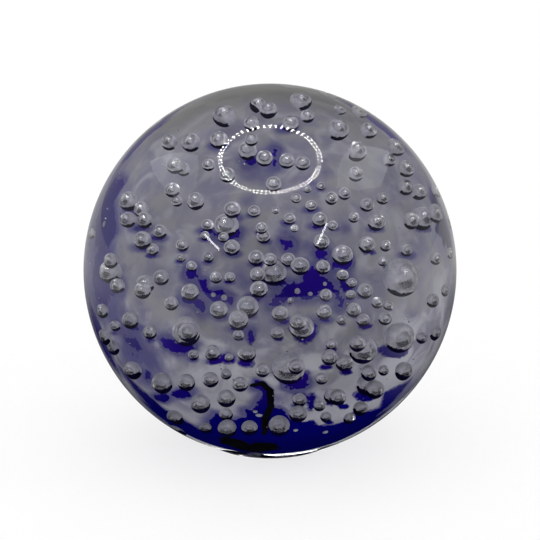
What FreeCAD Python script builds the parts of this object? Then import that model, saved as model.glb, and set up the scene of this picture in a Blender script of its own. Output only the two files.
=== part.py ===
import FreeCAD, Part
import Sketcher
import math
import os
import random

# A clear glass ball on a small ground foot. Inside it lies a blue core under a torn veil of white enamel,
# and the clear glass around them is full of air bubbles.
# Millimetres, +Z up, the origin at the middle of the foot. The front of the ball faces -Y.

# Driving dimensions, which become the cells of the sheet.
SIZES = [
    ("ball_radius", 40.0),
    ("centre_height", 38.0),
    ("foot_radius", 14.0),
    ("foot_bevel", 0.35),
    ("core_radius", 26.0),
    ("veil_thickness", 0.6),
    ("gather_radius", 28.0),
    ("bubble_skin", 0.8),
    ("bubble_gap", 0.3),
    ("fleck_radius", 0.35),
]

# Places on the front are given as they look through the ball: how far across and up from its middle,
# in ball radii, from a point in front that looks down a little.
VIEW_RISE = math.radians(15.5)
VIEW_DISTANCE = 500.0
GLASS_INDEX = 1.52

# Bubbles on the front: across, up and radius, in ball radii, as they look through the glass.
# The shallow ones lie just under the surface, the deep ones just over the first gather.
SHALLOW_BUBBLES = [
    (0.71, -0.04, 0.105), (0.70, -0.365, 0.09), (-0.44, -0.335, 0.055), (0.14, -0.52, 0.045),
    (-0.17, -0.27, 0.058), (0.15, -0.28, 0.048), (0.32, -0.47, 0.048), (-0.04, -0.54, 0.04),
    (-0.58, -0.61, 0.062), (-0.45, -0.605, 0.05), (-0.32, -0.59, 0.047), (-0.16, -0.615, 0.045),
    (0.565, -0.645, 0.055), (0.365, -0.685, 0.048), (0.265, -0.73, 0.034), (0.15, -0.775, 0.052),
    (0.05, -0.84, 0.062), (-0.11, -0.85, 0.048), (-0.23, -0.855, 0.055), (-0.345, -0.85, 0.036),
    (-0.645, -0.335, 0.042), (-0.75, -0.27, 0.05), (-0.43, -0.12, 0.05), (0.45, -0.215, 0.042),
    (-0.06, -0.105, 0.05), (0.285, 0.015, 0.042), (0.39, -0.03, 0.034), (0.89, 0.06, 0.036),
    (0.875, -0.165, 0.04), (0.94, -0.11, 0.03), (-0.125, -0.45, 0.052), (-0.685, -0.11, 0.048),
    (0.76, 0.265, 0.05), (0.89, 0.305, 0.05), (-0.765, 0.27, 0.048), (-0.685, 0.16, 0.052),
    (0.605, 0.385, 0.037), (-0.25, 0.175, 0.03), (0.47, -0.395, 0.048), (-0.855, 0.05, 0.045),
    (-0.89, -0.36, 0.04), (-0.87, -0.43, 0.032), (-0.51, -0.795, 0.045), (0.73, 0.545, 0.05),
    (-0.03, 0.6, 0.047), (0.33, 0.385, 0.038),
]
MIDDLE_BUBBLES = [
    (0.69, 0.1, 0.062), (-0.31, -0.445, 0.045), (-0.375, -0.72, 0.055), (0.277, 0.15, 0.046),
    (0.155, 0.02, 0.053), (-0.29, -0.04, 0.034), (-0.215, -0.04, 0.03), (0.3, -0.135, 0.036),
    (-0.275, -0.215, 0.05), (0.055, -0.235, 0.047), (0.29, -0.225, 0.043), (-0.2, 0.32, 0.046),
    (-0.335, 0.24, 0.034), (-0.205, 0.12, 0.045), (-0.085, 0.315, 0.035), (-0.045, 0.225, 0.033),
    (0.105, 0.275, 0.033), (0.13, 0.22, 0.022), (0.267, 0.27, 0.042), (0.328, 0.232, 0.028),
    (0.22, 0.345, 0.032), (0.14, 0.385, 0.028), (0.2, 0.435, 0.022), (0.273, 0.45, 0.022),
    (-0.425, 0.685, 0.052), (-0.51, 0.56, 0.046), (-0.33, 0.565, 0.035), (-0.525, 0.43, 0.042),
    (-0.4, 0.37, 0.05), (-0.59, 0.205, 0.04), (-0.47, 0.135, 0.036), (-0.475, 0.065, 0.024),
    (-0.42, 0.02, 0.03), (-0.34, 0.18, 0.025), (-0.53, -0.18, 0.04), (-0.585, -0.04, 0.044),
    (0.46, 0.515, 0.042), (0.465, 0.64, 0.058), (0.365, 0.755, 0.06), (0.53, 0.75, 0.045),
    (0.675, 0.66, 0.048), (0.73, 0.445, 0.044), (0.4, 0.41, 0.036), (0.52, 0.35, 0.04),
    (0.45, 0.283, 0.03), (0.572, 0.258, 0.05), (0.52, 0.137, 0.048), (0.605, 0.045, 0.026),
    (0.39, 0.08, 0.058), (0.44, -0.07, 0.028), (0.425, -0.13, 0.028), (0.495, -0.11, 0.045),
    (0.5, -0.27, 0.037), (0.383, -0.27, 0.028), (0.577, -0.175, 0.034), (0.635, -0.19, 0.028),
    (0.63, -0.265, 0.038), (0.815, -0.365, 0.032), (0.89, -0.34, 0.036), (0.72, -0.545, 0.05),
    (0.61, -0.54, 0.03), (0.4, -0.5, 0.048), (0.277, -0.585, 0.034), (0.16, -0.705, 0.038),
    (0.487, -0.746, 0.042), (0.414, -0.775, 0.036), (0.3, -0.79, 0.03), (-0.235, -0.69, 0.05),
    (-0.24, -0.79, 0.036), (-0.22, -0.47, 0.024), (-0.41, -0.455, 0.03), (-0.235, -0.56, 0.03),
    (-0.74, -0.54, 0.05), (-0.83, -0.3, 0.03), (-0.82, -0.085, 0.042), (-0.9, -0.22, 0.036),
    (0.966, 0.09, 0.024), (0.375, 0.86, 0.03), (0.165, 0.91, 0.055), (0.2, 0.825, 0.037),
    (0.09, 0.585, 0.043), (0.17, 0.555, 0.042), (-0.1, 0.785, 0.042), (-0.1, 0.7, 0.036),
    (-0.01, 0.86, 0.048), (0.02, 0.46, 0.045), (-0.23, 0.51, 0.043), (-0.275, 0.7, 0.05),
    (0.11, 0.785, 0.045), (-0.54, 0.685, 0.044), (0.48, 0.85, 0.035), (0.0, 0.055, 0.038),
]
DEEP_BUBBLES = [
    (0.1, -0.53, 0.088), (-0.45, -0.33, 0.08), (0.17, -0.31, 0.07), (0.5, -0.43, 0.078),
    (0.825, 0.28, 0.07), (-0.235, 0.24, 0.066), (0.02, -0.015, 0.07), (-0.12, -0.2, 0.06),
    (-0.86, -0.01, 0.06), (-0.67, -0.075, 0.05), (-0.76, 0.37, 0.05), (-0.69, 0.325, 0.042),
    (-0.655, 0.26, 0.044), (-0.63, 0.11, 0.034), (-0.5, 0.37, 0.03), (-0.465, 0.54, 0.036),
    (-0.245, 0.83, 0.06), (-0.065, 0.885, 0.04), (-0.12, 0.64, 0.05), (0.64, 0.59, 0.032),
    (-0.035, 0.18, 0.038), (-0.06, -0.025, 0.045), (-0.075, 0.065, 0.044), (0.09, 0.05, 0.04),
    (0.11, -0.165, 0.017), (0.03, 0.32, 0.02), (0.68, -0.37, 0.06), (0.33, -0.4, 0.03),
    (0.5, -0.52, 0.046), (0.52, -0.62, 0.055), (0.33, -0.68, 0.04), (0.04, -0.34, 0.036),
    (-0.33, 0.07, 0.03), (-0.17, -0.35, 0.03), (0.8, 0.42, 0.04), (0.62, 0.13, 0.03),
]

# Torn windows in the veil on the front, across and up as above, each outline once around.
WINDOWS = [
    # The largest one, right of the middle.
    [(0.06, -0.105), (0.09, -0.08), (0.17, -0.065), (0.195, -0.01), (0.235, 0.03), (0.25, 0.0),
     (0.27, -0.035), (0.31, -0.04), (0.35, -0.085), (0.4, -0.16), (0.4, -0.2), (0.37, -0.21),
     (0.375, -0.17), (0.34, -0.12), (0.28, -0.115), (0.25, -0.15), (0.2, -0.165), (0.12, -0.15),
     (0.06, -0.185), (0.01, -0.205), (-0.015, -0.195), (0.045, -0.135), (0.075, -0.135)],
    # Left of the middle.
    [(-0.4, -0.05), (-0.34, -0.05), (-0.35, -0.09), (-0.345, -0.115), (-0.27, -0.11),
     (-0.225, -0.14), (-0.2, -0.15), (-0.215, -0.19), (-0.275, -0.165), (-0.335, -0.165),
     (-0.34, -0.14), (-0.37, -0.115)],
    # Small ones above the middle.
    [(0.055, 0.165), (0.115, 0.162), (0.138, 0.142), (0.128, 0.125), (0.08, 0.115)],
    [(-0.31, 0.205), (-0.24, 0.2), (-0.19, 0.212), (-0.16, 0.228), (-0.168, 0.185), (-0.205, 0.165),
     (-0.26, 0.168), (-0.3, 0.18)],
    [(0.24, 0.105), (0.29, 0.12), (0.315, 0.095), (0.3, 0.055), (0.26, 0.06)],
    [(0.445, 0.075), (0.455, 0.035), (0.42, -0.005), (0.37, 0.02), (0.34, -0.005), (0.345, 0.045),
     (0.4, 0.05)],
    # Around the left one, towards the edge of the ball.
    [(-0.455, 0.0), (-0.4, 0.005), (-0.395, -0.035), (-0.44, -0.05), (-0.465, -0.03)],
    [(-0.46, -0.13), (-0.4, -0.15), (-0.36, -0.18), (-0.345, -0.22), (-0.38, -0.235), (-0.41, -0.19),
     (-0.465, -0.17)],
    # Right of the largest one.
    [(0.39, -0.06), (0.44, -0.075), (0.45, -0.11), (0.42, -0.13), (0.385, -0.1)],
    # A narrow streak high up, and the patch beside it.
    [(0.02, 0.665), (0.045, 0.66), (0.03, 0.62), (0.032, 0.56), (0.014, 0.555), (0.02, 0.62),
     (0.004, 0.64)],
    [(-0.14, 0.61), (-0.08, 0.615), (-0.075, 0.58), (-0.12, 0.575)],
    # Low on the left.
    [(-0.785, -0.365), (-0.73, -0.375), (-0.705, -0.415), (-0.71, -0.44), (-0.75, -0.42),
     (-0.785, -0.39)],
    [(-0.6, -0.375), (-0.55, -0.37), (-0.5, -0.41), (-0.45, -0.42), (-0.42, -0.395), (-0.41, -0.42),
     (-0.45, -0.455), (-0.52, -0.45), (-0.58, -0.42)],
    [(-0.685, -0.55), (-0.655, -0.55), (-0.648, -0.59), (-0.675, -0.6)],
    [(-0.275, -0.465), (-0.23, -0.46), (-0.195, -0.48), (-0.2, -0.505), (-0.245, -0.51)],
    # Narrow ones beside the large bubbles low down.
    [(-0.125, -0.335), (-0.095, -0.33), (-0.085, -0.38), (-0.105, -0.42), (-0.12, -0.38)],
    [(0.215, -0.28), (0.255, -0.3), (0.25, -0.355), (0.2, -0.4), (0.165, -0.395), (0.205, -0.355)],
    [(0.2, -0.555), (0.21, -0.605), (0.17, -0.65), (0.115, -0.655), (0.155, -0.62), (0.18, -0.59)],
    [(0.4, -0.505), (0.44, -0.5), (0.445, -0.54), (0.415, -0.55)],
    [(0.52, -0.385), (0.55, -0.38), (0.575, -0.42), (0.55, -0.425)],
    # Low on the right, over the bare bottom.
    [(0.14, -0.68), (0.16, -0.665), (0.21, -0.69), (0.23, -0.67), (0.245, -0.69), (0.24, -0.74),
     (0.225, -0.77), (0.205, -0.74), (0.205, -0.705), (0.15, -0.692)],
    # The long one down the left edge.
    [(-0.785, 0.48), (-0.81, 0.44), (-0.85, 0.37), (-0.84, 0.28), (-0.835, 0.21), (-0.87, 0.14),
     (-0.95, 0.12), (-0.945, 0.22), (-0.93, 0.31), (-0.89, 0.41), (-0.84, 0.5)],
]
# The veil's lower edge across the front, from the left edge of the ball to the right edge.
LOWER_EDGE = [
    (-0.8, -0.55), (-0.72, -0.635), (-0.65, -0.69), (-0.58, -0.755), (-0.5, -0.8), (-0.43, -0.84),
    (-0.37, -0.875), (-0.33, -0.83), (-0.295, -0.775), (-0.26, -0.8), (-0.2, -0.82), (-0.135, -0.8),
    (-0.14, -0.755), (-0.1, -0.765), (-0.06, -0.71), (-0.04, -0.66), (-0.09, -0.64), (-0.08, -0.6),
    (-0.035, -0.61), (0.0, -0.65), (0.0, -0.73), (0.03, -0.76), (0.05, -0.745), (0.08, -0.77),
    (0.1, -0.8), (0.15, -0.84), (0.2, -0.825), (0.235, -0.82), (0.26, -0.845), (0.33, -0.845),
    (0.4, -0.83), (0.45, -0.775), (0.47, -0.79), (0.53, -0.77), (0.6, -0.75), (0.62, -0.665),
    (0.68, -0.64), (0.76, -0.6),
]
FLECKS = [
    (0.22, -0.13), (0.15, -0.115), (0.3, -0.075), (-0.25, -0.15), (-0.31, -0.135), (-0.08, -0.77),
    (-0.06, -0.79), (0.14, -0.87), (0.3, -0.88), (-0.9, 0.25),
]

# The back is filled by chance, always the same way.
SEED = 71
BACK_BUBBLES = 150
BACK_WINDOWS = 6
FRONT_COSINE = -0.05

# A bubble that has no room moves in or out by this step, this many times, before it shrinks.
SETTLE_STEP = 0.25
SETTLE_TRIES = 40
SETTLE_SHRINKS = (1.0, 0.92, 0.85, 0.78, 0.7, 0.6)
# The smallest, largest and most likely radius of a bubble at the back.
BACK_BUBBLE_RADII = (0.7, 3.0, 1.6)
# How the bare bottom runs round the back: corners, mean latitude, its wave and its unevenness, in degrees.
BACK_EDGE_STEPS = 22
BACK_EDGE_LATITUDE = -50
BACK_EDGE_WAVE = 5
BACK_EDGE_CHANCE = 6
# The tears at the back: corners each, smallest and largest reach over the core's radius, width over height.
BACK_WINDOW_CORNERS = 14
BACK_WINDOW_REACH = (0.07, 0.2)
BACK_WINDOW_ASPECT = 1.5
# How far the cutters for the tears reach past the veil, over its radius.
CUTTER_REACH = 1.2


class Ball:
    """Directions and places inside the ball, from the sizes in the sheet."""

    def __init__(self, sheet):
        for alias, _ in SIZES:
            setattr(self, alias, float(sheet.get(alias)))
        self.centre = FreeCAD.Vector(0, 0, self.centre_height)
        self.veil_radius = self.core_radius + self.veil_thickness
        self.across = FreeCAD.Vector(1, 0, 0)
        self.up = FreeCAD.Vector(0, math.sin(VIEW_RISE), math.cos(VIEW_RISE))
        self.towards = FreeCAD.Vector(0, -math.cos(VIEW_RISE), math.sin(VIEW_RISE))

    def seen_at(self, across, up, radius):
        """The place at this radius that looks, through the clear glass, to lie at across and up."""
        offset = math.hypot(across, up)
        bent = math.asin(offset / GLASS_INDEX)
        inner = math.asin(min(1.0, offset / GLASS_INDEX * self.ball_radius / radius))
        spread = offset * math.asin(self.ball_radius / VIEW_DISTANCE)
        polar = math.asin(offset) - bent + inner - spread
        sideways = (self.across * across + self.up * up) * (math.sin(polar) / offset)
        return (sideways + self.towards * math.cos(polar)) * radius

    def true_size(self, across, up, radius, looks):
        """The real radius of a bubble at this depth that hides as much of the view as a disc this large."""
        offset = math.hypot(across, up)
        step = 0.01
        nearer = self.seen_at(across * (1 - step), up * (1 - step), radius)
        farther = self.seen_at(across * (1 + step), up * (1 + step), radius)
        slant = math.sqrt(1 - (offset / GLASS_INDEX * self.ball_radius / radius) ** 2)
        outwards = (farther - nearer).Length / (2 * step * offset) * slant
        place = self.seen_at(across, up, radius)
        around = (place - self.towards * place.dot(self.towards)).Length / offset
        return looks * math.sqrt(outwards * around)

    def fits(self, place, radius, bubbles):
        """True when a bubble here stays inside the outer gather and clear of the others."""
        if place.Length - radius < self.gather_radius + self.bubble_gap:
            return False
        if place.Length + radius > self.ball_radius - self.bubble_skin / 2:
            return False
        if place.z + self.centre_height - radius < self.bubble_skin:
            return False
        return all((place - other).Length > radius + size + self.bubble_gap for other, size in bubbles)

    def settle(self, direction, start, radius, bubbles):
        """The place along the direction nearest to the start radius where the bubble fits, and its size."""
        for shrink in SETTLE_SHRINKS:
            for count in range(SETTLE_TRIES):
                for side in (1, -1):
                    place = direction * (start + side * count * SETTLE_STEP)
                    if self.fits(place, radius * shrink, bubbles):
                        return place, radius * shrink
        return None


def lay_bubbles(ball):
    """Every bubble as its place from the ball's centre and its radius: the front by hand, then the rest."""
    middle_radius = (ball.gather_radius + ball.ball_radius) / 2
    bubbles = []
    groups = [("shallow", SHALLOW_BUBBLES), ("deep", DEEP_BUBBLES), ("middle", MIDDLE_BUBBLES)]
    for depth, group in groups:
        for across, up, looks in group:
            radius = ball.true_size(across, up, middle_radius, looks)
            start = {
                "shallow": ball.ball_radius - ball.bubble_skin - radius,
                "middle": middle_radius,
                "deep": ball.gather_radius + 2 * ball.bubble_gap + radius,
            }[depth]
            place = ball.seen_at(across, up, start)
            found = ball.settle(place / place.Length, start, radius, bubbles)
            if found:
                bubbles.append(found)
            else:
                print("no room for the bubble at", across, up)
    chance = random.Random(SEED)
    goal = len(bubbles) + BACK_BUBBLES
    while len(bubbles) < goal:
        direction = FreeCAD.Vector(*(chance.gauss(0, 1) for _ in range(3))).normalize()
        radius = chance.triangular(*BACK_BUBBLE_RADII)
        start = chance.uniform(ball.gather_radius + radius, ball.ball_radius - radius)
        if direction.dot(ball.towards) > FRONT_COSINE:
            continue
        found = ball.settle(direction, start, radius, bubbles)
        if found:
            bubbles.append(found)
    return bubbles


def pyramid(ball, directions):
    """A solid from the ball's centre out past the veil, through an outline given as directions."""
    middle = FreeCAD.Vector()
    for direction in directions:
        middle += direction
    middle.normalize()
    reach = CUTTER_REACH * ball.veil_radius
    base = [ball.centre + direction * (reach / direction.dot(middle)) for direction in directions]
    faces = [Part.Face(Part.makePolygon(base + base[:1]))]
    for first, second in zip(base, base[1:] + base[:1]):
        faces.append(Part.Face(Part.makePolygon([ball.centre, first, second, ball.centre])))
    solid = Part.makeSolid(Part.makeShell(faces))
    if solid.Volume < 0:
        solid.reverse()
    return solid


def around_the_foot(longitude, latitude):
    """The direction at this longitude, counted from the front to the right, and latitude."""
    flat = math.cos(latitude)
    return FreeCAD.Vector(flat * math.sin(longitude), -flat * math.cos(longitude), math.sin(latitude))


def window_outlines(ball):
    """Each tear in the veil as a closed outline of directions: the front by hand, then the back."""
    outlines = []
    for window in WINDOWS:
        outlines.append([ball.seen_at(across, up, ball.veil_radius).normalize() for across, up in window])
    edge = [ball.seen_at(across, up, ball.veil_radius).normalize() for across, up in LOWER_EDGE]
    chance = random.Random(SEED)
    first = math.atan2(edge[-1].x, -edge[-1].y)
    last = math.atan2(edge[0].x, -edge[0].y) + 2 * math.pi
    for step in range(1, BACK_EDGE_STEPS):
        longitude = first + (last - first) * step / BACK_EDGE_STEPS
        wave = BACK_EDGE_WAVE * math.sin(3 * longitude) + chance.uniform(-BACK_EDGE_CHANCE, BACK_EDGE_CHANCE)
        edge.append(around_the_foot(longitude, math.radians(BACK_EDGE_LATITUDE + wave)))
    outlines.append(edge)
    for number in range(BACK_WINDOWS):
        longitude = math.radians(110 + 140 * number / (BACK_WINDOWS - 1))
        latitude = math.radians(35 * math.sin(2.2 * number) + 8)
        middle = around_the_foot(longitude, latitude)
        side = middle.cross(FreeCAD.Vector(0, 0, 1)).normalize()
        rise = side.cross(middle)
        outline = []
        for corner in range(BACK_WINDOW_CORNERS):
            turn = 2 * math.pi * corner / BACK_WINDOW_CORNERS
            size = chance.uniform(*BACK_WINDOW_REACH)
            aside = side * (size * BACK_WINDOW_ASPECT * math.cos(turn))
            outline.append((middle + aside + rise * (size * math.sin(turn))).normalize())
        outlines.append(outline)
    return outlines


def fleck_pegs(ball):
    """A short peg through the veil's thickness where each loose fleck lies."""
    pegs = []
    for number, (across, up) in enumerate(FLECKS):
        direction = ball.seen_at(across, up, ball.veil_radius).normalize()
        size = ball.fleck_radius * (1 + 0.4 * math.sin(2.4 * number))
        start = ball.centre + direction * (ball.core_radius - 1)
        pegs.append(Part.makeCylinder(size, 2 + ball.veil_thickness, start, direction))
    return pegs


def add_sheet(doc):
    """The spreadsheet of driving dimensions."""
    sheet = doc.addObject("Spreadsheet::Sheet", "Sizes")
    for row, (alias, value) in enumerate(SIZES, 1):
        sheet.set(f"A{row}", alias)
        sheet.set(f"B{row}", str(value))
        sheet.setAlias(f"B{row}", alias)
    doc.recompute()
    return sheet


def add_sphere(doc, name, radius):
    """A sphere about the ball's centre, its radius given as an expression."""
    sphere = doc.addObject("Part::Sphere", name)
    sphere.setExpression("Radius", radius)
    sphere.setExpression("Placement.Base.z", "Sizes.centre_height")
    return sphere


def add_cut(doc, name, base, tool):
    """The base with the tool cut out of it."""
    cut = doc.addObject("Part::Cut", name)
    cut.Base = base
    cut.Tool = tool
    return cut


def add_shapes(doc, name, shapes):
    """A feature that holds loose shapes side by side."""
    feature = doc.addObject("Part::Feature", name)
    feature.Shape = Part.makeCompound(shapes)
    return feature


def add_outer_blank(doc, ball):
    """The outer gather before its bubbles: turned about Z, hollow for the first gather, flat at the foot."""
    body = doc.addObject("PartDesign::Body", "OuterBlank")
    sketch = body.newObject("Sketcher::SketchObject", "OuterProfile")
    plane = next(item for item in body.Origin.OriginFeatures if item.Role == "XZ_Plane")
    sketch.AttachmentSupport = [(plane, "")]
    sketch.MapMode = "FlatFace"

    up = FreeCAD.Vector(0, 0, 1)
    middle = FreeCAD.Vector(0, ball.centre_height, 0)
    quarter = math.pi / 2
    drop = ball.centre_height - ball.foot_bevel
    low = math.acos(ball.ball_radius / math.hypot(ball.foot_radius, drop))
    low -= math.atan2(drop, ball.foot_radius)

    def line(start, end):
        return Part.LineSegment(FreeCAD.Vector(*start, 0), FreeCAD.Vector(*end, 0))

    tangent = (ball.ball_radius * math.cos(low), ball.centre_height + ball.ball_radius * math.sin(low))
    foot = (ball.foot_radius, ball.foot_bevel)
    flat = (ball.foot_radius - ball.foot_bevel, 0)
    top = ball.centre_height + ball.ball_radius
    inner_top = ball.centre_height + ball.gather_radius
    inner_low = ball.centre_height - ball.gather_radius
    outside, cavity = 0, 5
    sketch.addGeometry(Part.ArcOfCircle(Part.Circle(middle, up, ball.ball_radius), low, quarter), False)
    sketch.addGeometry(line(tangent, foot), False)
    sketch.addGeometry(line(foot, flat), False)
    sketch.addGeometry(line(flat, (0, 0)), False)
    sketch.addGeometry(line((0, 0), (0, inner_low)), False)
    inner_circle = Part.Circle(middle, up, ball.gather_radius)
    sketch.addGeometry(Part.ArcOfCircle(inner_circle, -quarter, quarter), False)
    sketch.addGeometry(line((0, inner_top), (0, top)), False)

    start, end, centre = 1, 2, 3
    rules = [
        ("Tangent", outside, start, 1, start), ("Coincident", 1, end, 2, start),
        ("Coincident", 2, end, 3, start), ("Coincident", 3, end, 4, start),
        ("Coincident", 3, end, -1, 1), ("Horizontal", 3), ("Vertical", 4),
        ("Coincident", 4, end, cavity, start), ("Coincident", cavity, end, 6, start),
        ("Coincident", 6, end, outside, end), ("PointOnObject", 6, start, -2), ("PointOnObject", 6, end, -2),
        ("Coincident", outside, centre, cavity, centre), ("PointOnObject", outside, centre, -2),
    ]
    for rule in rules:
        sketch.addConstraint(Sketcher.Constraint(*rule))
    sized = [
        (("Radius", outside, ball.ball_radius), "ball_radius"),
        (("Radius", cavity, ball.gather_radius), "gather_radius"),
        (("DistanceY", -1, 1, outside, centre, ball.centre_height), "centre_height"),
        (("DistanceX", -1, 1, 1, end, ball.foot_radius), "foot_radius"),
        (("DistanceY", 3, start, 2, start, ball.foot_bevel), "foot_bevel"),
        (("DistanceX", 3, start, 2, start, ball.foot_bevel), "foot_bevel"),
    ]
    for rule, alias in sized:
        number = sketch.addConstraint(Sketcher.Constraint(*rule))
        sketch.setExpression(f"Constraints[{number}]", f"Sizes.{alias}")

    turned = body.newObject("PartDesign::Revolution", "OuterTurned")
    turned.Profile = sketch
    turned.ReferenceAxis = (sketch, ["V_Axis"])
    turned.Angle = 360
    body.Tip = turned
    return body


def check(doc, nodes):
    """Stops when any feature failed, or a piece is empty or not valid."""
    for item in doc.Objects:
        if "Invalid" in item.State or "Error" in item.State:
            raise RuntimeError(f"{item.Label} failed: {item.State}")
    for node in nodes:
        if node.Shape.isNull() or not node.Shape.Solids or not node.Shape.isValid():
            raise RuntimeError(f"{node.Label} has no valid solid")
        print(node.Label, len(node.Shape.Solids), "solids", round(node.Shape.Volume, 1), "mm3")


def main():
    doc = FreeCAD.newDocument("Paperweight")
    ball = Ball(add_sheet(doc))

    core = add_sphere(doc, "BlueCore", "Sizes.core_radius")
    core.Label = "blue_core"

    veil_outside = add_sphere(doc, "VeilOutside", "Sizes.core_radius + Sizes.veil_thickness")
    skin = add_cut(doc, "VeilSkin", veil_outside, core)
    tears = add_shapes(doc, "VeilTears", [pyramid(ball, outline) for outline in window_outlines(ball)])
    veil = add_cut(doc, "WhiteVeil", skin, tears)
    veil.Label = "white_veil"

    pegs = add_shapes(doc, "FleckPegs", fleck_pegs(ball))
    flecks = doc.addObject("Part::Common", "VeilFlecks")
    flecks.Base = skin
    flecks.Tool = pegs
    flecks.Label = "veil_flecks"

    gather = add_sphere(doc, "GatherOutside", "Sizes.gather_radius")
    over_core = add_cut(doc, "GatherOverCore", gather, core)
    over_veil = add_cut(doc, "GatherOverVeil", over_core, veil)
    first_gather = add_cut(doc, "FirstGather", over_veil, flecks)
    first_gather.Label = "first_gather"

    blank = add_outer_blank(doc, ball)
    bubbles = lay_bubbles(ball)
    print(len(bubbles), "bubbles")
    hollows = add_shapes(
        doc, "Bubbles", [Part.makeSphere(radius, ball.centre + place) for place, radius in bubbles]
    )
    outer_gather = add_cut(doc, "OuterGather", blank, hollows)
    outer_gather.Label = "outer_gather"

    doc.recompute()
    nodes = [core, veil, flecks, first_gather, outer_gather]
    check(doc, nodes)
    os.makedirs("parts", exist_ok=True)
    for node in nodes:
        node.Shape.exportStep(f"parts/{node.Label}.step")


main()
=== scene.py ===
import math
import random

import bmesh
import bpy
import numpy as np
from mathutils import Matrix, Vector, noise
from mathutils.bvhtree import BVHTree
from mathutils.kdtree import KDTree


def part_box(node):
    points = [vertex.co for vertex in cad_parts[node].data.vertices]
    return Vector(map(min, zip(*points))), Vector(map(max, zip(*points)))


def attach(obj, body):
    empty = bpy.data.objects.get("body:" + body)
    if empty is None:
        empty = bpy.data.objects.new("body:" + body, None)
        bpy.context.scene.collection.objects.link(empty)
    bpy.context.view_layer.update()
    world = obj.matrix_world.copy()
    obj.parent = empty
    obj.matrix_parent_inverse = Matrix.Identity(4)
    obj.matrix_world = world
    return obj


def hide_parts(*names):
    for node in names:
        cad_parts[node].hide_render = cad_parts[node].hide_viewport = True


# The looks of a glass ball paperweight, in metres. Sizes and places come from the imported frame: the
# ball's outline and its bubbles from the outer gather, and the veil's torn outline from the CAD veil.
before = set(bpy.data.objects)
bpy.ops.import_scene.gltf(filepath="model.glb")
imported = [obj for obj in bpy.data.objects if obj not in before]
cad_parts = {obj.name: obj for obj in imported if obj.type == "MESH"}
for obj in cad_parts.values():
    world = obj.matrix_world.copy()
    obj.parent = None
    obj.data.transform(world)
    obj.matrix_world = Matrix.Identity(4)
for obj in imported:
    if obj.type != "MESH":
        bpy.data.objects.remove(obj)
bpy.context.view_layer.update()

MM = 0.001
SEED = 71
GLASS_INDEX = 1.52

# The view: how far the camera looks down, its distance from the middle of the ball, and its lens and
# sensor in millimetres.
VIEW_RISE = math.radians(15.5)
VIEW_DISTANCE = 0.5
LENS = 155.0
SENSOR_WIDTH = 36.0
NEAREST_SEEN, FARTHEST_SEEN = 0.01, 20.0
RIGHT = Vector((1, 0, 0))
UP = Vector((0, math.sin(VIEW_RISE), math.cos(VIEW_RISE)))
TOWARDS = Vector((0, -math.cos(VIEW_RISE), math.sin(VIEW_RISE)))

# Places on the front where the enamel is thin, as they look through the glass: across, up and reach in
# ball radii, and how thin it is. Over 1 the core shows bare.
THIN_PATCHES = [
    (-0.06, 0.54, 0.13, 0.75), (0.02, 0.64, 0.05, 0.8), (-0.12, 0.37, 0.07, 0.7),
    (0.08, 0.16, 0.12, 0.85), (0.19, 0.12, 0.07, 0.7), (-0.31, 0.2, 0.05, 0.8),
    (-0.2, 0.27, 0.06, 0.7), (0.3, 0.52, 0.06, 0.6), (0.34, 0.7, 0.06, 0.5),
    (0.27, 0.24, 0.045, 0.9), (0.4, 0.22, 0.05, 0.6), (-0.5, 0.02, 0.07, 0.7),
    (-0.38, -0.12, 0.12, 0.85), (-0.15, -0.06, 0.09, 0.8), (-0.07, -0.14, 0.05, 1.0),
    (0.02, -0.07, 0.06, 1.1), (0.4, -0.1, 0.08, 0.9), (0.46, 0.05, 0.05, 0.7),
    (-0.1, -0.24, 0.04, 1.0), (-0.12, -0.36, 0.05, 0.8), (0.07, -0.26, 0.05, 0.75),
    (0.24, -0.3, 0.05, 0.7), (-0.89, 0.24, 0.12, 0.9), (-0.88, 0.0, 0.06, 1.1),
    (-0.79, -0.09, 0.05, 1.1), (-0.69, -0.15, 0.06, 0.9), (-0.73, -0.42, 0.16, 0.95),
    (-0.5, -0.4, 0.1, 0.85), (-0.66, -0.57, 0.09, 0.85), (-0.5, -0.64, 0.09, 0.6),
    (0.04, -0.7, 0.1, 0.8), (0.22, -0.66, 0.08, 0.75), (0.42, -0.53, 0.06, 0.6),
    (0.55, -0.5, 0.05, 0.6), (0.82, 0.08, 0.08, 0.6), (0.83, -0.25, 0.08, 0.5),
    (0.65, -0.69, 0.07, 0.9), (0.52, -0.72, 0.07, 0.7), (-0.28, -0.47, 0.05, 0.8),
    (-0.05, 0.2, 0.05, 0.7), (-0.24, 0.1, 0.05, 0.7), (-0.95, -0.12, 0.06, 0.7),
    (0.2, 0.05, 0.05, 0.8), (0.02, 0.02, 0.05, 0.6), (-0.67, -0.22, 0.07, 0.7),
    (-0.44, -0.24, 0.07, 0.7), (-0.22, -0.18, 0.07, 0.7), (0.02, -0.2, 0.07, 0.8),
    (-0.44, 0.02, 0.07, 0.7), (-0.9, -0.03, 0.11, 1.3), (-0.9, 0.1, 0.07, 1.2),
    (0.22, 0.44, 0.08, 0.6), (-0.94, 0.3, 0.06, 0.95), (-0.96, 0.17, 0.06, 1.0),
    (-0.96, 0.02, 0.06, 0.95), (-0.88, 0.4, 0.06, 0.8),
]

# Places on the front where the enamel is thickest and palest: across, up and reach in ball radii.
PALE_PATCHES = [
    (0.0, -0.44, 0.09), (0.14, -0.4, 0.09), (0.3, -0.45, 0.08), (0.47, -0.4, 0.1),
    (0.67, -0.43, 0.12), (0.03, -0.56, 0.05), (0.45, -0.7, 0.1), (0.3, -0.76, 0.08),
    (-0.25, -0.56, 0.07), (-0.66, -0.05, 0.08), (0.55, 0.08, 0.08), (0.58, -0.22, 0.08),
    (0.92, -0.1, 0.1), (0.68, 0.43, 0.1), (-0.05, -0.46, 0.08), (0.6, -0.6, 0.08),
]

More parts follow.
